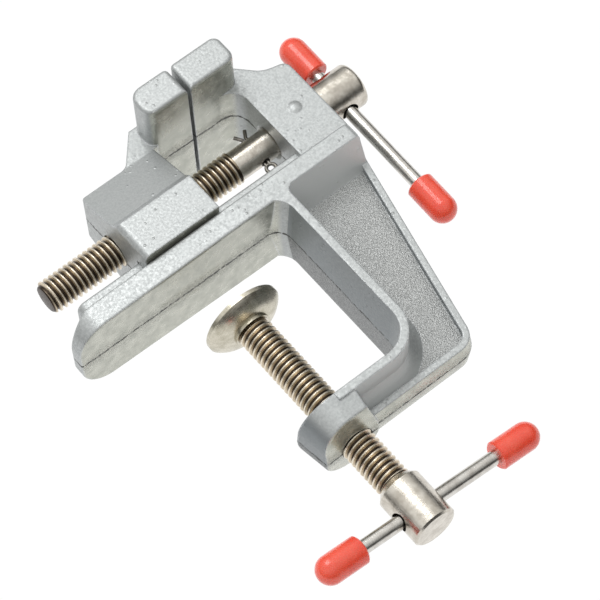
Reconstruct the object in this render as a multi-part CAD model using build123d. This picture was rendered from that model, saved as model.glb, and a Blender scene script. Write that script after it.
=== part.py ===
from build123d import *
import math
import os

# A small clamp-on bench vise, 30 mm across the jaws.
# Frame: +Z up as the vise is used, +X along the main screw towards its handle, +Y across the jaws.
# Origin: where the clamp screw's axis meets the flat face that rests on the table top, at mid-width.
# All sizes are in millimetres and, unless a comment says otherwise, heights are measured from that face.

# --- clearances ---
RUNNING_GAP = 0.08          # radial, a shaft or a thread crest in its bore
SLIDING_GAP = 0.3           # between the moving jaw and the rail it slides on
END_GAP = 0.1               # axial, where a turning piece stops against its neighbour
BAR_HOLE_GAP = 0.4          # radial, a tommy bar in the hole of a screw head
JAW_OPENING = 0.7           # between the two jaw faces as the vise is stored

# --- jaws ---
JAW_WIDTH = 30.0
JAW_TOP = 28.4
JAW_UNDERSIDE = 22.5
FIXED_JAW_FACE = 15.6       # X of the fixed jaw's gripping face
FIXED_JAW_THICKNESS = 9.6
MOVING_JAW_THICKNESS = 8.0
FIXED_JAW_BACK_RADIUS = 1.5 # along the top, away from the gripping face
MOVING_JAW_BACK_RADIUS = 2.4
JAW_TOP_RADIUS = 0.8        # along the top, at the gripping face
JAW_LOWER_RADIUS = 2.0
JAW_END_RADIUS = 0.7

# --- rail, its guide rib and the deck behind it ---
RAIL_WIDTH = 18.0
RAIL_NOSE_WIDTH = 16.4
RAIL_HEIGHT = 4.2
RAIL_LENGTH = 25.3          # from the clamp screw's axis to the tip of the nose
NOSE_CORNER_RADIUS = 6.0
NOSE_TOP_RADIUS = 0.4
NOSE_TIP_HEIGHT = 2.5       # the nose's top dips to this at its tip
RAIL_EDGE_RADIUS = 0.4
DECK_CORNER_RADIUS = 0.7
RIB_WIDTH = 11.0
RIB_HEIGHT = 2.7            # above the top of the rail
RIB_LENGTH = 20.8           # from the clamp screw's axis to the end of the rib
RIB_END_RADIUS = 1.6
RIB_EDGE_RADIUS = 0.5
DECK_END = 33.2             # X of the end of the deck under the post
DECK_EDGE_HEIGHT = 1.0      # lower edge of the deck's side faces
DECK_FILLET_RADIUS = 1.6    # between the deck's lower edge and the band round the throat
SOFFIT_DEPTH = 2.4          # how far the deck's sloping underside drops from that edge to the web

# --- post and the arm that carries the fixed jaw ---
POST_WIDTH = 14.0
POST_FRONT = 24.25          # X of the face towards the jaws
POST_THICKNESS = 9.6
WINDOW_CORNER_RADIUS = 3.4
ARM_DIP_X = 29.6            # lowest point of the hollow in the arm's top
ARM_DIP_Z = 21.9
ARM_SHOULDER_Z = 20.8
ARM_ROOT_Z = 26.6
ARM_HOLLOW_RADIUS = 5.0
ARM_SHOULDER_RADIUS = 1.6
COUNTERSINK_DEPTH = 0.5     # around the main screw's bore, on the side of the window
DIMPLE_X = 29.3
DIMPLE_Z = 12.9
DIMPLE_RADIUS = 1.3
DIMPLE_HEIGHT = 0.35

# --- C-shaped frame that reaches under the table ---
SPINE_FACE = 15.5           # X of the spine's inner face at mid-width
THROAT_HEIGHT = 32.3        # from the table face down to the lower arm at mid-width
THROAT_DRAFT = 5.3          # degrees, each side of mid-width
THROAT_TOP_RADIUS = 3.0
THROAT_BOTTOM_RADIUS = 4.6
INNER_FLANGE_THICKNESS = 2.3
WEB_THICKNESS = 3.0
WEB_RAMP_LENGTH = 2.2       # thickening of the web where it meets the inner flange
WEB_RAMP_DEPTH = 3.1
OUTER_FLANGE_WIDTH = 6.0
OUTER_FLANGE_THICKNESS = 1.2
OUTER_FLANGE_DRAFT = 7.0
OUTER_TOP = 33.9            # X of the outer flange at mid-width, level with the table face
OUTER_JOIN = 0.75           # share of the rail's height up to which it runs inside the deck
OUTER_SLOPE = 0.221         # how much the outer flange leans in per millimetre down
OUTER_CORNER_RADIUS = 3.8
LOWER_ARM_HEIGHT = 5.9
BOSS_NOSE = 7.2             # from the clamp screw's axis to the free end
BOSS_BACK = 3.5             # end of its side faces, where the recess begins
BOSS_BELLY = 5.6            # X where the recess's end wall meets the web
BOSS_NEAR_SIDE = 9.1        # towards -Y
BOSS_FAR_SIDE = 7.6         # towards +Y, where the casting is rounder
BOSS_NEAR_RADIUS = 6.2
BOSS_FAR_RADIUS = 7.0
BOSS_TAPER = 8.0            # degrees, narrower at the bottom
BOSS_HEIGHT = 6.5           # from the lower arm's top, at mid-width
BOSS_EDGE_RADIUS = 0.4

# --- moving jaw ---
SLIDE_WIDTH = 20.0          # the base that straddles the rib
SLIDE_LENGTH = 15.0
SLIDE_SHOULDER_Z = 12.2
NECK_FOOT_WIDTH = 16.6
NECK_FOOT_Z = 13.6
NECK_TOP_WIDTH = 10.6
NECK_TOP_Z = 22.4
NECK_HEAD_WIDTH = 9.4
NECK_STEP = 9.2             # length of the neck's flat top, from its back face
NECK_STEP_RADIUS = 2.0
NECK_BACK_RADIUS = 0.8
NECK_HEAD_DROP = 0.3        # neck's top below the top of the jaws
NECK_LEAN = 0.9             # neck's sloping back ends this far behind the jaw's back face
SLIDE_CORNER_RADIUS = 1.2

# --- screws ---
THREAD_DIAMETER = 6.0
THREAD_CHAMFER = 0.7
MAIN_AXIS_Z = 13.8
MAIN_THREAD_START = -22.4
MAIN_THREAD_END = 16.5
SHANK_DIAMETER = 5.4
HEAD_DIAMETER = 8.0
HEAD_LENGTH = 8.8
HEAD_EDGE_RADIUS = 0.9
HEAD_CONE = 1.1             # length of the taper between a thread and its head
HEAD_CHAMFER = 0.35
BAR_FROM_HEAD_END = 4.2
CLAMP_THREAD_TOP = -12.5
CLAMP_HEAD_END = -57.9

# --- tommy bars and their caps ---
BAR_DIAMETER = 2.5
MAIN_BAR_LENGTH = 42.0      # metal only, like the next one
CLAMP_BAR_LENGTH = 43.0
CAP_DIAMETER = 5.0
CAP_LENGTH = 8.5
CAP_WALL = 1.0              # plastic beyond the bar's end
CAP_RIM_CHAMFER = 0.25
MAIN_BAR_SHIFT = -8.3       # middle of the bar from its screw's axis, along the bar
CLAMP_BAR_SHIFT = 2.2
MAIN_BAR_TURN = 2.5         # degrees the bar is turned about its screw's axis as stored
CLAMP_BAR_TURN = 8.0

# --- split pin that keeps the main screw in the post ---
PIN_X = 21.4
PIN_WIRE = 0.64
PIN_LEG_SPACING = 0.7
PIN_HOLE_DIAMETER = 1.7
PIN_EYE_RADIUS = 0.85
PIN_TAIL_RISE = 1.3
PIN_TAIL_SPREAD = 0.8
PIN_REACH = 0.55            # how far the pin stands clear of the shank above and below

# --- swivel foot of the clamp screw ---
FOOT_TOP = -9.2
FOOT_DIAMETER = 14.3
FOOT_RIM = 0.7
FOOT_NECK_DIAMETER = 6.8
FOOT_NECK_HEIGHT = 0.5
SPIGOT_DIAMETER = 3.8
RECESS_DIAMETER = 6.4
RECESS_DEPTH = 0.9
RIVET_DIAMETER = 5.2
RIVET_THICKNESS = 0.45


def outline(corners):
    """A closed face from (x, y, corner radius) triples."""
    points = [(x, y) for x, y, _ in corners]
    radii = [radius for _, _, radius in corners]
    return make_face(FilletPolyline(*points, radius=radii, close=True))


def side_slab(corners, width):
    """A solid with the given X-Z side outline, centred on mid-width."""
    return extrude(Plane.XZ * outline(corners), amount=width / 2, both=True)


def cross_slab(corners, start, end):
    """A solid with the given Y-Z cross-section, running along X."""
    return extrude(Plane.YZ.offset(start) * outline(corners), amount=end - start)


def block(low, high):
    """A box between two corners."""
    size = [high[i] - low[i] for i in range(3)]
    centre = [(high[i] + low[i]) / 2 for i in range(3)]
    return Pos(*centre) * Box(*size)


def turned(profile, axis_location):
    """A solid of revolution from (radius, distance along the axis) points, on the axis of a location."""
    face = make_face(Polyline(*[(r, 0, h) for r, h in profile], close=True))
    return axis_location * revolve(face, Axis.Z)


def along_x(x, z):
    """A location whose own Z axis points along +X."""
    return Pos(x, 0, z) * Rot(0, 90, 0)


def edges_near(solid, test):
    """The solid's edges whose middle passes a test."""
    return ShapeList([edge for edge in solid.edges() if test(edge @ 0.5, edge % 0.5)])


def softened_jaw(gripping_x, back_x, top_back_radius):
    """One jaw bar across the vise: rounded behind, above and at its ends, sharp where it grips."""
    bar = side_slab([
        (gripping_x, JAW_UNDERSIDE, 0), (back_x, JAW_UNDERSIDE, JAW_LOWER_RADIUS),
        (back_x, JAW_TOP, top_back_radius), (gripping_x, JAW_TOP, JAW_TOP_RADIUS)], JAW_WIDTH)
    ends = edges_near(bar, lambda mid, _: (
        abs(abs(mid.Y) - JAW_WIDTH / 2) < END_GAP and abs(mid.X - gripping_x) > END_GAP))
    return fillet(ends, JAW_END_RADIUS)


FIXED_JAW_BACK = FIXED_JAW_FACE + FIXED_JAW_THICKNESS
MOVING_JAW_FACE = FIXED_JAW_FACE - JAW_OPENING
MOVING_JAW_BACK = MOVING_JAW_FACE - MOVING_JAW_THICKNESS
RIB_TOP = RAIL_HEIGHT + RIB_HEIGHT
POST_BACK = POST_FRONT + POST_THICKNESS
BORE_DIAMETER = SHANK_DIAMETER + 2 * RUNNING_GAP
NUT_DIAMETER = THREAD_DIAMETER + 2 * RUNNING_GAP
ARM_TOP_Z = -THROAT_HEIGHT
ARM_BOTTOM_Z = ARM_TOP_Z - LOWER_ARM_HEIGHT
FLANGE_BACK = SPINE_FACE + INNER_FLANGE_THICKNESS
DECK_START = SPINE_FACE + INNER_FLANGE_THICKNESS / 2
PARALLEL_START = SPINE_FACE - 2 * THROAT_TOP_RADIUS     # from here back the rail has its full width
FLANGE_UNDERSIDE = ARM_TOP_Z - INNER_FLANGE_THICKNESS


def rail_plan():
    """Plan outline shared by the rail and the deck, drawn from the nose to the deck's end."""
    nose_half = RAIL_NOSE_WIDTH / 2
    half = RAIL_WIDTH / 2
    return outline([
        (-RAIL_LENGTH, -nose_half, NOSE_CORNER_RADIUS), (PARALLEL_START, -half, 0),
        (DECK_END, -half, DECK_CORNER_RADIUS), (DECK_END, half, DECK_CORNER_RADIUS),
        (PARALLEL_START, half, 0), (-RAIL_LENGTH, nose_half, NOSE_CORNER_RADIUS)])


def rail_and_deck():
    """The flat rail with its dipping nose, and behind it the deck, whose underside slopes down to the web."""
    half = RAIL_WIDTH / 2
    web_half = WEB_THICKNESS / 2
    soffit_z = DECK_EDGE_HEIGHT - SOFFIT_DEPTH
    slab = Pos(0, 0, -SOFFIT_DEPTH) * extrude(rail_plan(), amount=RAIL_HEIGHT + SOFFIT_DEPTH)
    top_edges = edges_near(slab, lambda mid, _: mid.Z > RAIL_HEIGHT - RAIL_EDGE_RADIUS)
    slab = fillet(top_edges, RAIL_EDGE_RADIUS)
    dip = (RAIL_HEIGHT - NOSE_TIP_HEIGHT) / (RAIL_LENGTH - RIB_LENGTH)
    side = side_slab([
        (-RAIL_LENGTH - 1, 0, 0), (DECK_START, 0, 0), (DECK_START, RAIL_HEIGHT + dip, 0),
        (1 - RIB_LENGTH, RAIL_HEIGHT + dip, 0), (-RAIL_LENGTH - 1, NOSE_TIP_HEIGHT - dip, 0)], 2 * RAIL_WIDTH)
    front = slab & side
    rim = edges_near(front, lambda mid, _: abs(mid.Z) < END_GAP and mid.X < DECK_START - 1)
    front = fillet(rim, RAIL_EDGE_RADIUS)
    dipped = edges_near(front, lambda mid, way: (
        mid.X < -RIB_LENGTH - 1 and mid.Z > 1
        and abs(mid.Z - RAIL_HEIGHT - dip * (mid.X + RIB_LENGTH)) < END_GAP))
    front = fillet(dipped, NOSE_TOP_RADIUS)
    section = [
        (-half - 1, RAIL_HEIGHT + 1, 0), (-half - 1, DECK_EDGE_HEIGHT, 0), (-half, DECK_EDGE_HEIGHT, 0),
        (-web_half, soffit_z, 0), (web_half, soffit_z, 0), (half, DECK_EDGE_HEIGHT, 0),
        (half + 1, DECK_EDGE_HEIGHT, 0), (half + 1, RAIL_HEIGHT + 1, 0)]
    back = slab & cross_slab(section, DECK_START, DECK_END + 1)
    return front + back


def guide_rib():
    half = RIB_WIDTH / 2
    plan = outline([
        (-RIB_LENGTH, -half, RIB_END_RADIUS), (POST_FRONT + 1, -half, 0),
        (POST_FRONT + 1, half, 0), (-RIB_LENGTH, half, RIB_END_RADIUS)])
    rib = extrude(plan, amount=RIB_TOP)
    top_edges = edges_near(rib, lambda mid, _: mid.Z > RIB_TOP - END_GAP and mid.X < POST_FRONT)
    return fillet(top_edges, RIB_EDGE_RADIUS)


def throat():
    """The space the table edge goes into: it widens from mid-width to both sides."""
    corners = [
        (-2 * RAIL_LENGTH, DECK_EDGE_HEIGHT, 0), (PARALLEL_START, DECK_EDGE_HEIGHT, 0),
        (PARALLEL_START, 0, 0),
        (SPINE_FACE, 0, THROAT_TOP_RADIUS),
        (SPINE_FACE, ARM_TOP_Z, THROAT_BOTTOM_RADIUS), (-2 * RAIL_LENGTH, ARM_TOP_Z, 0)]
    face = Plane.XZ * outline(corners)
    reach = RAIL_WIDTH
    near = extrude(face, amount=reach, taper=-THROAT_DRAFT)
    return near + mirror(near, Plane.XZ)


def outer_profile(inset):
    """Side outline of the C-shaped frame, drawn in by the inset, from the deck to the boss."""
    bottom = ARM_BOTTOM_Z + inset
    top = OUTER_JOIN * RAIL_HEIGHT
    lean = OUTER_SLOPE * (top - ARM_BOTTOM_Z)
    top_x = OUTER_TOP + OUTER_SLOPE * top - inset
    radius = max(OUTER_CORNER_RADIUS - inset, OUTER_CORNER_RADIUS / 4)
    return [
        (0, top, 0), (top_x, top, 0),
        (top_x - lean + OUTER_SLOPE * inset, bottom, radius), (0, bottom, 0)]


def inner_flange():
    """The band round the throat, filleted into the deck's lower edge behind it."""
    tuck = DECK_FILLET_RADIUS + 2 * END_GAP
    inside_deck = 2 * DECK_EDGE_HEIGHT
    corners = [
        (0, DECK_EDGE_HEIGHT, 0), (FLANGE_BACK - tuck, DECK_EDGE_HEIGHT, 0),
        (FLANGE_BACK - tuck, inside_deck, 0), (FLANGE_BACK + tuck, inside_deck, 0),
        (FLANGE_BACK + tuck, DECK_EDGE_HEIGHT, 0), (FLANGE_BACK, DECK_EDGE_HEIGHT, DECK_FILLET_RADIUS),
        (FLANGE_BACK, FLANGE_UNDERSIDE, THROAT_BOTTOM_RADIUS + INNER_FLANGE_THICKNESS),
        (0, FLANGE_UNDERSIDE, 0)]
    return side_slab(corners, RAIL_WIDTH)


def web():
    """The thin wall between the flanges, with its ramp along the inner flange."""
    plate = side_slab(outer_profile(OUTER_FLANGE_THICKNESS / 2), WEB_THICKNESS)
    back = FLANGE_BACK + WEB_RAMP_LENGTH
    underside = FLANGE_UNDERSIDE - WEB_RAMP_LENGTH
    radius = THROAT_BOTTOM_RADIUS + INNER_FLANGE_THICKNESS + WEB_RAMP_LENGTH
    corners = [(-back, -1, 0), (back, -1, 0), (back, underside, radius), (-back, underside, 0)]
    angle = math.degrees(math.atan(WEB_RAMP_LENGTH / WEB_RAMP_DEPTH))
    start = Plane.XZ.offset(WEB_THICKNESS / 2)
    ramp = extrude(start * outline(corners), amount=WEB_RAMP_DEPTH, taper=angle)
    keep = block((0, -RAIL_WIDTH, underside - 1), (back + 1, RAIL_WIDTH, 1))
    ramp = ramp & keep
    return plate + ramp + mirror(ramp, Plane.XZ)


def outer_flange():
    """The narrow rib along the frame's outside, fullest at mid-width where the mould parts."""
    face = Plane.XZ * outline(outer_profile(0))
    near = extrude(face, amount=OUTER_FLANGE_WIDTH / 2, taper=OUTER_FLANGE_DRAFT)
    crown = math.tan(math.radians(OUTER_FLANGE_DRAFT)) * OUTER_FLANGE_WIDTH / 2
    pocket = side_slab(outer_profile(OUTER_FLANGE_THICKNESS + crown), RAIL_WIDTH)
    under_post = block((0, -RAIL_WIDTH, 2 * ARM_BOTTOM_Z), (POST_BACK, RAIL_WIDTH, RAIL_HEIGHT))
    return (near + mirror(near, Plane.XZ) - pocket) & under_post


def boss():
    """The thick end of the lower arm: rounded in plan, its bottom falling to mid-width."""
    body = extrude(Pos(0, 0, ARM_TOP_Z + 1) * outline([
        (-BOSS_NOSE, -BOSS_NEAR_SIDE, BOSS_NEAR_RADIUS), (BOSS_BACK, -BOSS_NEAR_SIDE, BOSS_EDGE_RADIUS),
        (BOSS_BELLY, -WEB_THICKNESS / 2, 0), (BOSS_BELLY, WEB_THICKNESS / 2, 0),
        (BOSS_BACK, BOSS_FAR_SIDE, BOSS_EDGE_RADIUS), (-BOSS_NOSE, BOSS_FAR_SIDE, BOSS_FAR_RADIUS)]),
        amount=-2 * BOSS_HEIGHT, taper=BOSS_TAPER)
    bottom = ARM_TOP_Z - BOSS_HEIGHT
    rise = math.tan(math.radians(THROAT_DRAFT)) * RAIL_WIDTH
    keep = cross_slab([
        (-RAIL_WIDTH, 0, 0), (-RAIL_WIDTH, bottom + rise, 0), (0, bottom, 0), (RAIL_WIDTH, bottom + rise, 0),
        (RAIL_WIDTH, 0, 0)], -RAIL_WIDTH, RAIL_WIDTH)
    body = body & keep
    rims = edges_near(body, lambda mid, way: mid.Z < bottom + 1.5 and abs(way.Z) < 0.5 and abs(mid.Y) > 0.5)
    return fillet(rims, BOSS_EDGE_RADIUS)


def post_and_arm():
    half_sink = RAIL_HEIGHT / 2
    corners = [
        (POST_FRONT, half_sink, 0), (POST_FRONT, JAW_UNDERSIDE, WINDOW_CORNER_RADIUS),
        (FIXED_JAW_FACE + FIXED_JAW_THICKNESS / 2, JAW_UNDERSIDE, 0),
        (FIXED_JAW_FACE + FIXED_JAW_THICKNESS / 2, ARM_ROOT_Z + 1, 0),
        (FIXED_JAW_BACK, ARM_ROOT_Z, 0), (ARM_DIP_X, ARM_DIP_Z, ARM_HOLLOW_RADIUS),
        (POST_BACK, ARM_SHOULDER_Z, ARM_SHOULDER_RADIUS), (POST_BACK, half_sink, 0)]
    body = side_slab(corners, POST_WIDTH)
    dome_radius = (DIMPLE_RADIUS ** 2 + DIMPLE_HEIGHT ** 2) / (2 * DIMPLE_HEIGHT)
    dome = Pos(DIMPLE_X, DIMPLE_HEIGHT - POST_WIDTH / 2 - 2 * DIMPLE_HEIGHT + dome_radius, DIMPLE_Z)
    return body + (dome * Sphere(dome_radius) & block(
        (DIMPLE_X - DIMPLE_RADIUS, -POST_WIDTH, DIMPLE_Z - DIMPLE_RADIUS),
        (DIMPLE_X + DIMPLE_RADIUS, -POST_WIDTH / 2 + 1, DIMPLE_Z + DIMPLE_RADIUS)))


def body_frame():
    frame = inner_flange() + web() + outer_flange() + boss()
    frame = frame - throat()
    frame = frame + rail_and_deck() + guide_rib() + post_and_arm()
    frame = frame + softened_jaw(FIXED_JAW_FACE, FIXED_JAW_BACK, FIXED_JAW_BACK_RADIUS)
    mid_post = (POST_FRONT + POST_BACK) / 2
    bore = along_x(mid_post, MAIN_AXIS_Z) * Cylinder(BORE_DIAMETER / 2, 2 * POST_THICKNESS)
    tapped_hole = Pos(0, 0, ARM_TOP_Z - BOSS_HEIGHT / 2) * Cylinder(NUT_DIAMETER / 2, 2 * BOSS_HEIGHT)
    countersink = along_x(POST_FRONT, MAIN_AXIS_Z) * Cone(
        BORE_DIAMETER / 2 + 2 * COUNTERSINK_DEPTH, BORE_DIAMETER / 2, 2 * COUNTERSINK_DEPTH)
    return frame - bore - tapped_hole - countersink


def moving_jaw():
    back = MOVING_JAW_BACK - SLIDE_LENGTH
    base_z = RAIL_HEIGHT + SLIDING_GAP
    half_widths = [
        (SLIDE_WIDTH, base_z), (SLIDE_WIDTH, SLIDE_SHOULDER_Z), (NECK_FOOT_WIDTH, NECK_FOOT_Z),
        (NECK_TOP_WIDTH, NECK_TOP_Z), (NECK_HEAD_WIDTH, JAW_TOP - NECK_HEAD_DROP)]
    right = [(w / 2, z, 0) for w, z in half_widths]
    left = [(-w / 2, z, 0) for w, z in reversed(half_widths)]
    body = cross_slab(right + left, back, MOVING_JAW_BACK + 1)
    side = side_slab([
        (back, base_z, 0), (MOVING_JAW_BACK, base_z, 0), (MOVING_JAW_BACK, JAW_UNDERSIDE, 0),
        (MOVING_JAW_BACK + 1, JAW_UNDERSIDE, 0), (MOVING_JAW_BACK + 1, JAW_TOP - NECK_HEAD_DROP, 0),
        (MOVING_JAW_BACK - NECK_LEAN, JAW_TOP - NECK_HEAD_DROP, 0),
        (back + NECK_STEP, NECK_TOP_Z, NECK_STEP_RADIUS), (back, NECK_TOP_Z, NECK_BACK_RADIUS)], JAW_WIDTH)
    body = body & side
    corners = edges_near(body, lambda mid, _: (
        mid.X < back + END_GAP and abs(abs(mid.Y) - SLIDE_WIDTH / 2) < END_GAP))
    body = fillet(corners, SLIDE_CORNER_RADIUS)
    body = body + softened_jaw(MOVING_JAW_FACE, MOVING_JAW_BACK, MOVING_JAW_BACK_RADIUS)
    groove_half = RIB_WIDTH / 2 + SLIDING_GAP
    groove = block((back - 1, -groove_half, 0), (MOVING_JAW_BACK + 1, groove_half, RIB_TOP + SLIDING_GAP))
    nut = along_x(MOVING_JAW_BACK - SLIDE_LENGTH / 2, MAIN_AXIS_Z) * Cylinder(
        NUT_DIAMETER / 2, SLIDE_LENGTH + 2)
    return body - groove - nut


def cross_hole(depth):
    return Cylinder(BAR_DIAMETER / 2 + BAR_HOLE_GAP, depth)


MAIN_HEAD_START = POST_BACK + END_GAP
MAIN_HEAD_END = MAIN_HEAD_START + HEAD_LENGTH
MAIN_BAR_X = MAIN_HEAD_END - BAR_FROM_HEAD_END
CLAMP_BAR_Z = CLAMP_HEAD_END + BAR_FROM_HEAD_END
MAIN_BAR_PLACE = Pos(MAIN_BAR_X, 0, MAIN_AXIS_Z) * Rot(MAIN_BAR_TURN, 0, 0)
CLAMP_BAR_PLACE = Pos(0, 0, CLAMP_BAR_Z) * Rot(0, 0, CLAMP_BAR_TURN) * Rot(0, 90, 0)


def main_screw():
    thread = THREAD_DIAMETER / 2
    shank = SHANK_DIAMETER / 2
    head = HEAD_DIAMETER / 2
    body = turned([
        (0, MAIN_THREAD_START), (thread - THREAD_CHAMFER, MAIN_THREAD_START),
        (thread, MAIN_THREAD_START + THREAD_CHAMFER), (thread, MAIN_THREAD_END), (shank, MAIN_THREAD_END),
        (shank, MAIN_HEAD_START), (head, MAIN_HEAD_START), (head, MAIN_HEAD_END), (0, MAIN_HEAD_END)],
        along_x(0, MAIN_AXIS_Z))
    rim = edges_near(body, lambda mid, _: mid.X > MAIN_HEAD_END - END_GAP)
    body = fillet(rim, HEAD_EDGE_RADIUS)
    pin_hole = Pos(PIN_X, 0, MAIN_AXIS_Z) * Cylinder(PIN_HOLE_DIAMETER / 2, 2 * SHANK_DIAMETER)
    return body - MAIN_BAR_PLACE * cross_hole(2 * HEAD_DIAMETER) - pin_hole


def split_pin():
    """A bent wire: an eye below the shank, two legs through it and two tails spread above it."""
    half = PIN_LEG_SPACING / 2
    tail_root = MAIN_AXIS_Z + SHANK_DIAMETER / 2 + PIN_REACH
    eye_z = MAIN_AXIS_Z - SHANK_DIAMETER / 2 - PIN_REACH - PIN_EYE_RADIUS
    shoulder = eye_z + math.sqrt(PIN_EYE_RADIUS ** 2 - half ** 2)
    tail_x = half + PIN_TAIL_SPREAD
    tail_z = tail_root + PIN_TAIL_RISE
    sides = []
    for way in (-1, 1):
        leg = Line((way * half, 0, shoulder), (way * half, 0, tail_root))
        tail = Line((way * half, 0, tail_root), (way * tail_x, 0, tail_z))
        profile = Plane(origin=(way * half, 0, shoulder), z_dir=(0, 0, 1)) * Circle(PIN_WIRE / 2)
        sides.append(sweep(profile, path=leg + tail, transition=Transition.ROUND))
    eye = Pos(0, 0, eye_z) * Rot(90, 0, 0) * Torus(PIN_EYE_RADIUS, PIN_WIRE / 2)
    return Pos(PIN_X, 0, 0) * (sides[0] + sides[1] + eye)


def clamp_screw():
    """Threaded spindle with its head at the bottom and, at the top, a spigot riveted over inside the foot."""
    thread = THREAD_DIAMETER / 2
    head = HEAD_DIAMETER / 2
    spigot = SPIGOT_DIAMETER / 2
    head_start = CLAMP_HEAD_END + HEAD_LENGTH
    rivet_bottom = FOOT_TOP - RECESS_DEPTH + END_GAP
    body = turned([
        (0, CLAMP_HEAD_END), (head - HEAD_CHAMFER, CLAMP_HEAD_END), (head, CLAMP_HEAD_END + HEAD_CHAMFER),
        (head, head_start), (thread, head_start + HEAD_CONE), (thread, CLAMP_THREAD_TOP),
        (spigot, CLAMP_THREAD_TOP), (spigot, rivet_bottom), (RIVET_DIAMETER / 2, rivet_bottom),
        (RIVET_DIAMETER / 2, rivet_bottom + RIVET_THICKNESS), (0, rivet_bottom + RIVET_THICKNESS)],
        Location((0, 0, 0)))
    return body - CLAMP_BAR_PLACE * cross_hole(2 * HEAD_DIAMETER)


def clamp_foot():
    """A round pad like a shallow bell, recessed where the spindle's end is riveted over."""
    bottom = CLAMP_THREAD_TOP + END_GAP
    rim_r = FOOT_DIAMETER / 2
    neck_r = FOOT_NECK_DIAMETER / 2
    hole_r = SPIGOT_DIAMETER / 2 + RUNNING_GAP
    recess_r = RECESS_DIAMETER / 2
    recess_z = FOOT_TOP - RECESS_DEPTH
    rim_z = FOOT_TOP - FOOT_RIM
    neck_z = bottom + FOOT_NECK_HEIGHT
    flare = ThreePointArc(
        (rim_r, 0, rim_z),
        ((rim_r + neck_r) / 2 + FOOT_NECK_HEIGHT, 0, (rim_z + bottom) / 2),
        (neck_r, 0, neck_z))
    rest = Polyline(
        (neck_r, 0, neck_z), (neck_r, 0, bottom), (hole_r, 0, bottom), (hole_r, 0, recess_z),
        (recess_r, 0, recess_z), (recess_r, 0, FOOT_TOP), (rim_r, 0, FOOT_TOP), (rim_r, 0, rim_z))
    return revolve(make_face(flare + rest), Axis.Z)


def tommy_bar(place, shift, length):
    return place * Pos(0, 0, shift) * Cylinder(BAR_DIAMETER / 2, length)


def bar_cap(place, shift, length, way):
    """A soft cap pushed over one end of a bar: straight sleeve, round end, blind hole."""
    outer = CAP_DIAMETER / 2
    bore = BAR_DIAMETER / 2
    tip = length / 2 + CAP_WALL
    mouth = tip - CAP_LENGTH
    dome = Pos(0, 0, tip - outer) * Sphere(outer)
    sleeve = turned([
        (bore, mouth), (outer - CAP_RIM_CHAMFER, mouth), (outer, mouth + CAP_RIM_CHAMFER),
        (outer, tip - outer),
        (bore, tip - outer)], Location((0, 0, 0)))
    hole = Pos(0, 0, tip - CAP_WALL - CAP_LENGTH / 2) * Cylinder(bore, CAP_LENGTH)
    cap = (dome + sleeve) - hole
    turn = Rot(0, 0, 0) if way > 0 else Rot(180, 0, 0)
    return place * Pos(0, 0, shift) * turn * cap


PARTS = {
    "body_frame": body_frame(),
    "moving_jaw": moving_jaw(),
    "main_screw": main_screw(),
    "split_pin": split_pin(),
    "main_handle_bar": tommy_bar(MAIN_BAR_PLACE, MAIN_BAR_SHIFT, MAIN_BAR_LENGTH),
    "main_cap_upper": bar_cap(MAIN_BAR_PLACE, MAIN_BAR_SHIFT, MAIN_BAR_LENGTH, 1),
    "main_cap_lower": bar_cap(MAIN_BAR_PLACE, MAIN_BAR_SHIFT, MAIN_BAR_LENGTH, -1),
    "clamp_screw": clamp_screw(),
    "clamp_foot": clamp_foot(),
    "clamp_handle_bar": tommy_bar(CLAMP_BAR_PLACE, CLAMP_BAR_SHIFT, CLAMP_BAR_LENGTH),
    "clamp_cap_right": bar_cap(CLAMP_BAR_PLACE, CLAMP_BAR_SHIFT, CLAMP_BAR_LENGTH, 1),
    "clamp_cap_left": bar_cap(CLAMP_BAR_PLACE, CLAMP_BAR_SHIFT, CLAMP_BAR_LENGTH, -1),
}

os.makedirs("parts", exist_ok=True)
for name, solid in PARTS.items():
    export_step(solid, f"parts/{name}.step")
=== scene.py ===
import bpy
import bmesh
import math
from mathutils import Matrix, Vector


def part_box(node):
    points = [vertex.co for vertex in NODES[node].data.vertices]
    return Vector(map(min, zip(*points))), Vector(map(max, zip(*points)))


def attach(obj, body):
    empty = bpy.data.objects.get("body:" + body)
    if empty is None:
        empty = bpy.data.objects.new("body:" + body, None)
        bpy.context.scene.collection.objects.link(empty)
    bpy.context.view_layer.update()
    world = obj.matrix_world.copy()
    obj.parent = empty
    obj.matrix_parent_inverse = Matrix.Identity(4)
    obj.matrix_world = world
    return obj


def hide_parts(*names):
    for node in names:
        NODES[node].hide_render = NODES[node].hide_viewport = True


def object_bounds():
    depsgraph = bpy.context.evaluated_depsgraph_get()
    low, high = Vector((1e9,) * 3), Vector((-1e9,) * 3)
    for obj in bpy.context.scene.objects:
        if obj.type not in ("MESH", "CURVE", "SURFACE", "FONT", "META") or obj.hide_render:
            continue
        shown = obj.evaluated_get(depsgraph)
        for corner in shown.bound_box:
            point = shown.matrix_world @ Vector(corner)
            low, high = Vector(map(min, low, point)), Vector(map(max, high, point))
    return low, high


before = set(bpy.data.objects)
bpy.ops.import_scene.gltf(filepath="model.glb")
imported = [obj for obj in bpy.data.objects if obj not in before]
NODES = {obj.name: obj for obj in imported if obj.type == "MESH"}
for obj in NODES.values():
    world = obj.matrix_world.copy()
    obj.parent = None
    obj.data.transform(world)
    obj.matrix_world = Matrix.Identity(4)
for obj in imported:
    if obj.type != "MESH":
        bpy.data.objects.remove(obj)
CAD_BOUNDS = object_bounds()
MM = 0.001

# --- camera -------------------------------------------------------------------------------------------
EYE = Vector((-0.12784, -0.42531, -0.20437))
LOOK = Vector((0.28207, 0.87476, 0.39399)).normalized()
UP_HINT = Vector((0.56265, -0.48346, 0.67059))


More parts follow.
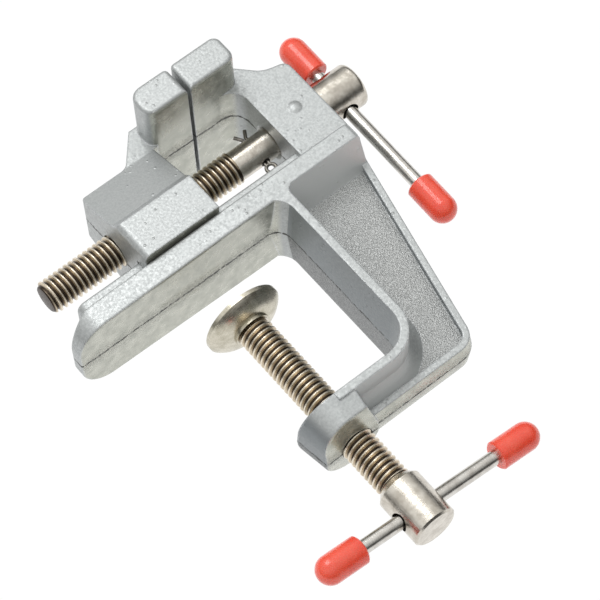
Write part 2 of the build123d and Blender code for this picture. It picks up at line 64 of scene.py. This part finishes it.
def make_camera():
    """The camera looks up at the vise from below its left side, rolled so that the rail runs downhill."""
    right = LOOK.cross(UP_HINT).normalized()
    up = right.cross(LOOK)
    turn = Matrix((right, up, -LOOK)).transposed().to_4x4()
    data = bpy.data.cameras.new("camera")
    data.lens = 180
    data.sensor_width = 36
    data.clip_start = 0.01
    data.clip_end = 20
    cam = bpy.data.objects.new("camera", data)
    cam.matrix_world = Matrix.Translation(EYE) @ turn
    bpy.context.scene.collection.objects.link(cam)
    bpy.context.scene.camera = cam
    return right, up


RIGHT, UP = make_camera()


# --- material builder ---------------------------------------------------------------------------------
class Shader:
    """A small helper that adds nodes to a material and wires them by socket name."""

    def __init__(self, name):
        self.material = bpy.data.materials.new(name)
        self.material.use_nodes = True
        self.tree = self.material.node_tree
        self.surface = self.tree.nodes["Principled BSDF"]

    def add(self, kind, sockets=None, **props):
        made = self.tree.nodes.new(kind)
        for key, value in props.items():
            setattr(made, key, value)
        for key, value in (sockets or {}).items():
            self.put(made, key, value)
        return made

    def put(self, made, key, value):
        if isinstance(value, bpy.types.Node):
            value = value.outputs[0]
        if isinstance(value, bpy.types.NodeSocket):
            self.tree.links.new(value, made.inputs[key])
        elif isinstance(value, tuple) and len(value) == 3 and made.inputs[key].type == "RGBA":
            made.inputs[key].default_value = (*value, 1)
        else:
            made.inputs[key].default_value = value

    def math(self, operation, a, b=0.0, clamp=False):
        return self.add("ShaderNodeMath", {0: a, 1: b}, operation=operation, use_clamp=clamp)

    def step(self, value, low, high, out_low=0.0, out_high=1.0):
        """Rises smoothly from out_low at low to out_high at high."""
        return self.add("ShaderNodeMapRange", {"Value": value, "From Min": low, "From Max": high,
                                               "To Min": out_low, "To Max": out_high},
                        interpolation_type="SMOOTHSTEP")

    def mix(self, share, a, b):
        made = self.add("ShaderNodeMix", data_type="RGBA")
        for key, value in ((0, share), (6, a), (7, b)):
            self.put(made, key, value)
        return made.outputs[2]

    def blend(self, share, a, b):
        made = self.add("ShaderNodeMix", data_type="FLOAT")
        for key, value in ((0, share), (2, a), (3, b)):
            self.put(made, key, value)
        return made.outputs[0]

    def place(self, stretch=(1, 1, 1)):
        """Object coordinates in millimetres, stretched if asked."""
        at = self.add("ShaderNodeTexCoord").outputs["Object"]
        return self.add("ShaderNodeVectorMath", {0: at, 1: tuple(1000 * s for s in stretch)},
                        operation="MULTIPLY").outputs[0]

    def noise(self, scale, detail, rough, stretch=(1, 1, 1)):
        return self.add("ShaderNodeTexNoise", {"Vector": self.place(stretch), "Scale": scale, "Detail": detail,
                                               "Roughness": rough}).outputs["Fac"]

    def cells(self, scale):
        return self.add("ShaderNodeTexVoronoi", {"Vector": self.place(), "Scale": scale}).outputs["Distance"]

    def times(self, a, b):
        return self.math("MULTIPLY", a, b)

    def plus(self, a, b):
        return self.math("ADD", a, b)

    def without(self, share):
        """What is left of one when the share is taken away."""
        return self.math("SUBTRACT", 1.0, share, True)

    def facing(self, component, sign):
        """One where the surface looks along the signed direction, with a soft limit."""
        return self.step(self.times(component, sign), 0.55, 0.85)

    def bump(self, height, distance, normal=None):
        sockets = {"Height": height, "Distance": distance, "Strength": 1.0}
        if normal is not None:
            sockets["Normal"] = normal
        return self.add("ShaderNodeBump", sockets).outputs[0]

    def finish(self, **sockets):
        for key, value in sockets.items():
            self.put(self.surface, key.replace("_", " "), value)
        return self.material


# where the casting's surface changes, in millimetres
RECESS_FROM_X = 17.6        # behind the band round the throat
TABLE_FACE_DROP = -1.2      # lowest part of the rail's underside
THROAT_MID_Z = -15.5
THROAT_REACH = 21.0         # faces further than this from the throat's middle lie outside the recess
THROAT_TOP_Z = -2.0         # the spine's inner face begins here
WEB_TOP_Z = -1.0
WEB_FACE = (1.95, 1.60)     # outside and inside limits of the web's faces, from mid-width
BEVEL = 0.45


def casting_material():
    """Tumbled die casting: smooth near faces, paler where the mould slid with a painted reflection tinting
    those faces green, a sandy web, a dark parting line, painted shade on the spine's inner face and a painted
    highlight along the edges.
    """
    s = Shader("casting")
    x, y, z = s.add("ShaderNodeSeparateXYZ", {0: s.place()}).outputs
    true_normal = s.add("ShaderNodeNewGeometry").outputs["Normal"]
    nx, ny, nz = s.add("ShaderNodeSeparateXYZ", {0: true_normal}).outputs
    side = s.step(s.math("ABSOLUTE", ny), 0.75, 0.95)
    # the faces the mould slid along: under the rail, under the jaws and under the lower arm
    under_rail = s.times(s.math("LESS_THAN", x, RECESS_FROM_X), s.math("GREATER_THAN", z, TABLE_FACE_DROP))
    outside = s.math("GREATER_THAN", s.math("ABSOLUTE", s.math("SUBTRACT", z, THROAT_MID_Z)), THROAT_REACH)
    slid = s.math("MAXIMUM", under_rail, outside)
    down = s.times(s.facing(nz, -1.0), slid)
    # the undersides within the recess: below the deck and below the lower band
    soffit = s.times(s.facing(nz, -1.0), s.without(slid))
    # the spine's inner face, painted dark as shade in the recess; its far half painted darker still, with
    # streaky file marks
    inner_face_shade = s.times(s.facing(nx, -1.0), s.math("LESS_THAN", z, THROAT_TOP_Z))
    filed_and_shaded = s.times(inner_face_shade, s.step(y, 0.0, 0.6))
    web = s.times(s.step(s.math("ABSOLUTE", y), *WEB_FACE), s.times(side, s.math("LESS_THAN", z, WEB_TOP_Z)))
    grain = s.noise(2.4, 5.0, 0.7)
    fine = s.noise(7.0, 3.0, 0.6)
    cloud = s.noise(0.16, 3.0, 0.55)
    patch = s.noise(0.45, 4.0, 0.6)
    sand = s.cells(4.6)
    scratch = s.noise(1.0, 4.0, 0.7, stretch=(0.35, 6.0, 6.0))
    # parting line: broken dark line at mid-width on every face that isn't a side, fainter on top
    wander = s.step(s.noise(0.5, 2.0, 0.5), 0.2, 0.8, -0.10, 0.10)
    off_mid = s.math("ABSOLUTE", s.plus(y, wander))
    width = s.step(s.noise(0.8, 3.0, 0.7), 0.36, 0.60, 0.07, 0.30)
    seam = s.times(s.math("LESS_THAN", off_mid, width), s.math("LESS_THAN", s.math("ABSOLUTE", ny), 0.5))
    seam = s.times(seam, s.step(nz, 0.5, 0.8, 1.0, 0.35))
    seam = s.times(seam, s.step(s.noise(1.6, 4.0, 0.8), 0.43, 0.48))
    near_seam = s.times(s.step(off_mid, 3.2, 0.2), s.without(side))
    # sparse blisters, except where the mould slid
    blisters = s.times(s.step(s.cells(0.75), 0.24, 0.05), s.step(cloud, 0.46, 0.60))
    blisters = s.times(blisters, s.without(down))
    # edges painted brighter and glossier: a painted highlight along the edges
    corner = s.add("ShaderNodeBevel", {"Radius": BEVEL * MM}, samples=4).outputs[0]
    bend = s.add("ShaderNodeVectorMath", {0: corner, 1: true_normal}, operation="DOT_PRODUCT").outputs["Value"]
    edge_highlight = s.times(s.step(bend, 0.99, 0.93), s.step(grain, 0.3, 0.5))
    # colour
    light = s.mix(s.step(grain, 0.35, 0.68), (0.40, 0.418, 0.418), (0.51, 0.53, 0.528))
    light = s.mix(s.step(patch, 0.35, 0.7, 0.0, 0.35), light, (0.46, 0.475, 0.475))
    # the smoother, paler tone where the mould slid is the casting's own; its greenish tint is a painted
    # reflection of the ground
    smooth = s.mix(s.step(patch, 0.3, 0.7), (0.43, 0.44, 0.385), (0.61, 0.615, 0.545))
    sandy = s.mix(s.step(sand, 0.1, 0.55), (0.90, 0.92, 0.915), (0.50, 0.51, 0.505))
    shaded_marks = s.mix(s.step(scratch, 0.35, 0.6), (0.10, 0.105, 0.11), (0.34, 0.35, 0.35))
    colour = s.mix(down, light, smooth)
    colour = s.mix(web, colour, sandy)
    colour = s.mix(soffit, colour, (0.72, 0.74, 0.735))
    # painted shade: the spine's inner face darkened in the recess
    colour = s.mix(inner_face_shade, colour, (0.25, 0.27, 0.28))
    # painted shade on the far half, streaked with file marks
    colour = s.mix(filed_and_shaded, colour, shaded_marks)
    # painted highlight: a brighter colour along the edges
    colour = s.mix(s.times(edge_highlight, 0.7), colour, (0.78, 0.81, 0.83))
    colour = s.mix(seam, colour, (0.035, 0.035, 0.03))
    # gloss
    rough = s.blend(down, s.step(grain, 0.3, 0.75, 0.52, 0.30), s.step(patch, 0.3, 0.7, 0.16, 0.30))
    rough = s.blend(web, rough, 0.42)
    rough = s.blend(edge_highlight, rough, 0.26)
    # relief
    near_height = s.plus(s.times(grain, 0.022), s.times(fine, 0.014))
    slid_height = s.plus(s.times(s.times(scratch, near_seam), 0.16), s.times(fine, 0.014))
    height = s.blend(down, near_height, slid_height)
    height = s.plus(height, s.times(blisters, 0.07))
    height = s.blend(web, height, s.times(s.times(sand, 1.2), 0.12))
    height = s.plus(height, s.times(s.times(scratch, filed_and_shaded), 0.20))
    height = s.math("SUBTRACT", height, s.times(seam, 0.12))
    return s.finish(Base_Color=colour, Metallic=s.blend(soffit, 0.62, 0.15), Roughness=rough,
                    Normal=s.bump(height, MM, corner), IOR=1.6)


def steel_material(name, dark, bright, rough_low, rough_high, axis):
    """Plated steel: faint rings from turning or drawing, small stains, slightly uneven gloss."""
    s = Shader(name)
    stretch = [0.5, 0.5, 0.5]
    stretch[axis] = 9.0
    rings = s.noise(1.0, 3.0, 0.6, tuple(stretch))
    stain = s.noise(0.5, 5.0, 0.65)
    spot = s.noise(3.5, 3.0, 0.6)
    colour = s.mix(s.step(stain, 0.3, 0.7), dark, bright)
    colour = s.mix(s.step(spot, 0.60, 0.75, 0.0, 0.35), colour, tuple(0.4 * c for c in dark))
    rough = s.step(s.plus(s.times(rings, 0.5), s.times(stain, 0.5)), 0.3, 0.7, rough_low, rough_high)
    height = s.plus(s.times(rings, 0.02), s.times(spot, 0.012))
    return s.finish(Base_Color=colour, Metallic=1.0, Roughness=rough, Normal=s.bump(height, MM))


def thread_material(name, axis):
    """Rolled thread under dull plate: a painted highlight on the crests, painted shade in the brown-black
    roots.
    """
    s = Shader(name)
    at = s.add("ShaderNodeSeparateXYZ", {0: s.place()}).outputs
    if axis == 0:
        across = (at[1], s.math("SUBTRACT", at[2], MAIN_AXIS_Z / MM))
    else:
        across = (at[0], at[1])
    reach = s.math("SQRT", s.plus(s.math("POWER", across[0], 2.0), s.math("POWER", across[1], 2.0)))
    # by distance from the axis: a painted highlight on the crests and painted shade in the roots
    edge_highlight = s.step(reach, CREST / MM - 0.16, CREST / MM - 0.01)
    root_shade = s.step(reach, ROOT / MM + 0.28, ROOT / MM + 0.02)
    stain = s.noise(0.6, 4.0, 0.65)
    spot = s.noise(5.0, 3.0, 0.6)
    colour = s.mix(s.step(stain, 0.3, 0.7), (0.50, 0.42, 0.30), (0.70, 0.60, 0.46))
    # painted shade in the roots, then a painted highlight on the crests
    colour = s.mix(root_shade, colour, (0.06, 0.045, 0.035))
    colour = s.mix(edge_highlight, colour, (0.86, 0.78, 0.65))
    rough = s.blend(edge_highlight, s.step(spot, 0.3, 0.7, 0.30, 0.42), 0.22)
    return s.finish(Base_Color=colour, Metallic=1.0, Roughness=rough,
                    Normal=s.bump(s.times(spot, 0.03), MM))


def cap_material():
    """Glossy soft vinyl with faint ripples and dust."""
    s = Shader("cap_plastic")
    patch = s.noise(0.35, 3.0, 0.5)
    fine = s.noise(4.0, 4.0, 0.6)
    ripple = s.noise(1.3, 3.0, 0.5)
    colour = s.mix(s.step(patch, 0.3, 0.7), (0.90, 0.075, 0.035), (0.97, 0.11, 0.06))
    colour = s.mix(s.step(fine, 0.62, 0.78, 0.0, 0.30), colour, (0.95, 0.32, 0.22))
    height = s.plus(s.times(ripple, 0.045), s.times(fine, 0.02))
    return s.finish(Base_Color=colour, Roughness=s.step(fine, 0.3, 0.7, 0.20, 0.34),
                    Normal=s.bump(height, MM), Subsurface_Weight=0.25, Subsurface_Radius=(0.9, 0.25, 0.15),
                    Subsurface_Scale=1.0 * MM, Coat_Weight=0.6, Coat_Roughness=0.10)


# --- screws with real threads --------------------------------------------------------------------------
PITCH = 1.0 * MM
CREST = 3.0 * MM
ROOT = 2.42 * MM
TURN_STEPS = 72
DISC_RINGS = 6
CREASE = math.radians(28)
TOUCH = 0.01 * MM
# share of the pitch against share of the thread's depth; the crest is split as rolled threads are
PROFILE = [(0.0, 0.0), (0.07, 0.02), (0.14, 0.12), (0.30, 0.62), (0.385, 0.93), (0.425, 1.0), (0.47, 0.98),
           (0.50, 0.90), (0.53, 0.98), (0.575, 1.0), (0.615, 0.93), (0.70, 0.62), (0.86, 0.12), (0.93, 0.02)]
low_main, high_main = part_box("main_screw")
MAIN_AXIS_Z = (low_main.z + high_main.z) / 2
MAIN_THREAD = (low_main.x, 16.5 * MM)
CLAMP_THREAD = (-48.0 * MM, -12.5 * MM)


def thread_mesh(bm, start, end, chamfer_start, chamfer_end, to_frame):
    """A right-hand thread as one strip of the profile wound round the axis, with chamfered ends."""
    turns = int(math.ceil((end - start) / PITCH)) + 1
    count = len(PROFILE)
    rows = []
    for i in range(turns * TURN_STEPS + 1):
        angle = 2 * math.pi * i / TURN_STEPS
        row = []
        for share, rise in PROFILE:
            along = start - PITCH + PITCH * (i / TURN_STEPS + share)
            along = min(max(along, start), end)
            radius = ROOT + (CREST - ROOT) * rise
            if chamfer_start:
                radius = min(radius, CREST - chamfer_start + (along - start))
            if chamfer_end:
                radius = min(radius, CREST - chamfer_end + (end - along))
            row.append(bm.verts.new(to_frame(radius * math.cos(angle), radius * math.sin(angle), along)))
        rows.append(row)
    made = []
    for i in range(len(rows) - 1):
        for j in range(count):
            if j + 1 < count:
                corners = (rows[i][j], rows[i + 1][j], rows[i + 1][j + 1], rows[i][j + 1])
            elif i + 1 + TURN_STEPS < len(rows):
                corners = (rows[i][j], rows[i + 1][j], rows[i + 1 + TURN_STEPS][0], rows[i + TURN_STEPS][0])
            else:
                continue
            made.append(bm.faces.new(corners))
    return made


def disc(bm, radius, along, dome, outward, to_frame):
    """A slightly domed end face."""
    previous = None
    made = []
    centre = bm.verts.new(to_frame(0, 0, along + outward * dome))
    for k in range(1, DISC_RINGS + 1):
        r = radius * k / DISC_RINGS
        height = along + outward * dome * (1 - (k / DISC_RINGS) ** 2)
        ring = [bm.verts.new(to_frame(r * math.cos(2 * math.pi * i / TURN_STEPS),
                                      r * math.sin(2 * math.pi * i / TURN_STEPS), height))
                for i in range(TURN_STEPS)]
        for i in range(TURN_STEPS):
            n = (i + 1) % TURN_STEPS
            if previous is None:
                made.append(bm.faces.new((centre, ring[i], ring[n])))
            else:
                made.append(bm.faces.new((previous[i], ring[i], ring[n], previous[n])))
        previous = ring
    return made


def screw_piece(name, node, keep, build):
    """Takes the shank and head from the CAD node's mesh and adds the wound thread to them."""
    source = NODES[node]
    bm = bmesh.new()
    bm.from_mesh(source.data)
    gone = [f for f in bm.faces if not keep(f)]
    bmesh.ops.delete(bm, geom=gone, context="FACES")
    bmesh.ops.remove_doubles(bm, verts=bm.verts, dist=1e-7)
    for f in bm.faces:
        f.material_index = 0
    for f in build(bm):
        f.material_index = 1
    bmesh.ops.recalc_face_normals(bm, faces=bm.faces)
    for f in bm.faces:
        f.smooth = True
    for e in bm.edges:
        on_cad = len(e.link_faces) == 2 and e.link_faces[0].material_index == 0
        if on_cad and e.calc_face_angle(0) > CREASE:
            e.smooth = False
    mesh = bpy.data.meshes.new(name)
    bm.to_mesh(mesh)
    bm.free()
    made = bpy.data.objects.new(name, mesh)
    bpy.context.scene.collection.objects.link(made)
    return made


def build_screws(polished, thread_main, thread_clamp):
    def main_frame(u, v, along):
        return Vector((along, u, MAIN_AXIS_Z + v))

    def main_keep(face):
        return min(v.co.x for v in face.verts) > MAIN_THREAD[1] - TOUCH

    def main_build(bm):
        made = thread_mesh(bm, MAIN_THREAD[0], MAIN_THREAD[1], 0.7 * MM, 0.35 * MM, main_frame)
        return made + disc(bm, CREST - 0.68 * MM, MAIN_THREAD[0] + 0.02 * MM, 0.12 * MM, -1, main_frame)

    spindle = screw_piece("main_spindle_threaded", "main_screw", main_keep, main_build)
    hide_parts("main_screw")
    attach(spindle, "main_spindle")
    spindle.data.materials.append(polished)
    spindle.data.materials.append(thread_main)

    def clamp_frame(u, v, along):
        return Vector((u, v, along))

    def clamp_keep(face):
        heights = [v.co.z for v in face.verts]
        return max(heights) < CLAMP_THREAD[0] + TOUCH or min(heights) > CLAMP_THREAD[1] - TOUCH

    def clamp_build(bm):
        return thread_mesh(bm, CLAMP_THREAD[0], CLAMP_THREAD[1], 0.3 * MM, 0.4 * MM, clamp_frame)

    spindle = screw_piece("clamp_spindle_threaded", "clamp_screw", clamp_keep, clamp_build)
    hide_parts("clamp_screw")
    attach(spindle, "clamp_spindle")
    spindle.data.materials.append(polished)
    spindle.data.materials.append(thread_clamp)


# --- dress the CAD nodes --------------------------------------------------------------------------------
casting = casting_material()
bar_steel = steel_material("bar_steel", (0.54, 0.51, 0.47), (0.74, 0.72, 0.68), 0.12, 0.24, axis=2)
cross_bar_steel = steel_material("cross_bar_steel", (0.54, 0.51, 0.47), (0.74, 0.72, 0.68), 0.12, 0.24, axis=0)
foot_steel = steel_material("foot_steel", (0.47, 0.44, 0.35), (0.70, 0.66, 0.56), 0.22, 0.34, axis=2)
head_steel = steel_material("head_steel", (0.50, 0.46, 0.40), (0.74, 0.70, 0.63), 0.13, 0.26, axis=0)
pin_steel = steel_material("pin_steel", (0.16, 0.15, 0.135), (0.34, 0.32, 0.29), 0.25, 0.40, axis=2)
cap_plastic = cap_material()
DRESS = {
    "body_frame": casting, "moving_jaw": casting, "split_pin": pin_steel,
    "main_handle_bar": bar_steel, "clamp_handle_bar": cross_bar_steel, "clamp_foot": foot_steel,
    "main_cap_upper": cap_plastic, "main_cap_lower": cap_plastic,
    "clamp_cap_left": cap_plastic, "clamp_cap_right": cap_plastic,
}
for node_name, material in DRESS.items():
    shown = NODES[node_name]
    shown.data.materials.clear()
    shown.data.materials.append(material)
build_screws(head_steel, thread_material("thread_main", 0), thread_material("thread_clamp", 2))


# --- floor, world and lamps -----------------------------------------------------------------------------
def make_floor():
    """Pale ground the vise lies on, on its side; it shows from its upper side only."""
    size = 0.5
    level = CAD_BOUNDS[1].y + 0.5 * MM
    mesh = bpy.data.meshes.new("floor")
    mesh.from_pydata([(-size, level, -size), (size, level, -size), (size, level, size), (-size, level, size)],
                     [], [(0, 1, 2, 3)])
    floor = bpy.data.objects.new("floor", mesh)
    bpy.context.scene.collection.objects.link(floor)
    s = Shader("floor")
    out = s.tree.nodes["Material Output"]
    speck = s.noise(0.05, 3.0, 0.5)
    pale = s.mix(s.step(speck, 0.3, 0.7), (1.0, 1.0, 1.0), (0.995, 0.995, 0.995))
    glow = s.add("ShaderNodeEmission", {"Color": pale, "Strength": 1.02})
    clear = s.add("ShaderNodeBsdfTransparent")
    behind = s.add("ShaderNodeNewGeometry").outputs["Backfacing"]
    both = s.add("ShaderNodeMixShader", {0: behind, 1: glow.outputs[0], 2: clear.outputs[0]})
    s.tree.links.new(both.outputs[0], out.inputs["Surface"])
    mesh.materials.append(s.material)


def make_world():
    """Light tent: bright towards the viewer's side and dark round the rim, for polished metal to reflect.
    What the camera itself sees past the floor is plain pale ground."""
    world = bpy.data.worlds.new("world")
    bpy.context.scene.world = world
    world.use_nodes = True
    tree = world.node_tree
    links = tree.links

    def add(kind, **props):
        made = tree.nodes.new(kind)
        for key, value in props.items():
            setattr(made, key, value)
        return made

    way = add("ShaderNodeTexCoord").outputs["Generated"]
    parts = add("ShaderNodeSeparateXYZ")
    links.new(way, parts.inputs[0])
    lift = add("ShaderNodeVectorMath", operation="DOT_PRODUCT")
    links.new(way, lift.inputs[0])
    lift.inputs[1].default_value = tuple(SKY)
    cloud = add("ShaderNodeTexNoise")
    links.new(way, cloud.inputs["Vector"])
    cloud.inputs["Scale"].default_value = 1.7
    cloud.inputs["Detail"].default_value = 2.0
    mixed = add("ShaderNodeMath", operation="MULTIPLY_ADD")
    links.new(cloud.outputs["Fac"], mixed.inputs[0])
    mixed.inputs[1].default_value = 0.45
    links.new(lift.outputs["Value"], mixed.inputs[2])
    ramp = add("ShaderNodeValToRGB")
    links.new(mixed.outputs[0], ramp.inputs[0])
    stops = [(0.0, 0.30), (0.18, 0.07), (0.42, 0.10), (0.62, 0.42), (0.85, 0.80), (1.0, 1.0)]
    ramp.color_ramp.elements[0].position = stops[0][0]
    ramp.color_ramp.elements[1].position = stops[-1][0]
    for position, _ in stops[1:-1]:
        ramp.color_ramp.elements.new(position)
    for element, (_, level) in zip(sorted(ramp.color_ramp.elements, key=lambda e: e.position), stops):
        element.color = (level, level, level * 0.985, 1)
    tent = tree.nodes["Background"]
    links.new(ramp.outputs[0], tent.inputs["Color"])
    tent.inputs["Strength"].default_value = TENT
    pale = add("ShaderNodeBackground")
    pale.inputs["Color"].default_value = (1, 1, 1, 1)
    pale.inputs["Strength"].default_value = 1.0
    seen = add("ShaderNodeLightPath").outputs["Is Camera Ray"]
    both = add("ShaderNodeMixShader")
    links.new(seen, both.inputs[0])
    links.new(tent.outputs[0], both.inputs[1])
    links.new(pale.outputs[0], both.inputs[2])
    links.new(both.outputs[0], tree.nodes["World Output"].inputs["Surface"])


def panel(name, toward, distance, size, power):
    """A square soft box in the given direction from the vise, facing it."""
    data = bpy.data.lights.new(name, "AREA")
    data.shape = "RECTANGLE"
    data.size = size
    data.size_y = size
    data.energy = power
    lamp = bpy.data.objects.new(name, data)
    centre = (CAD_BOUNDS[0] + CAD_BOUNDS[1]) / 2
    away = Vector(toward).normalized()
    turn = away.to_track_quat("Z", "Y").to_matrix().to_4x4()
    lamp.matrix_world = Matrix.Translation(centre + away * distance) @ turn
    bpy.context.scene.collection.objects.link(lamp)


SKY = Vector((-0.12, -0.95, 0.22)).normalized()
TENT = 1.0
make_floor()
make_world()
panel("key", -0.55 * LOOK + 0.75 * UP - 0.35 * RIGHT, 0.6, 0.30, 1.1)
bpy.context.scene.view_settings.view_transform = "Standard"
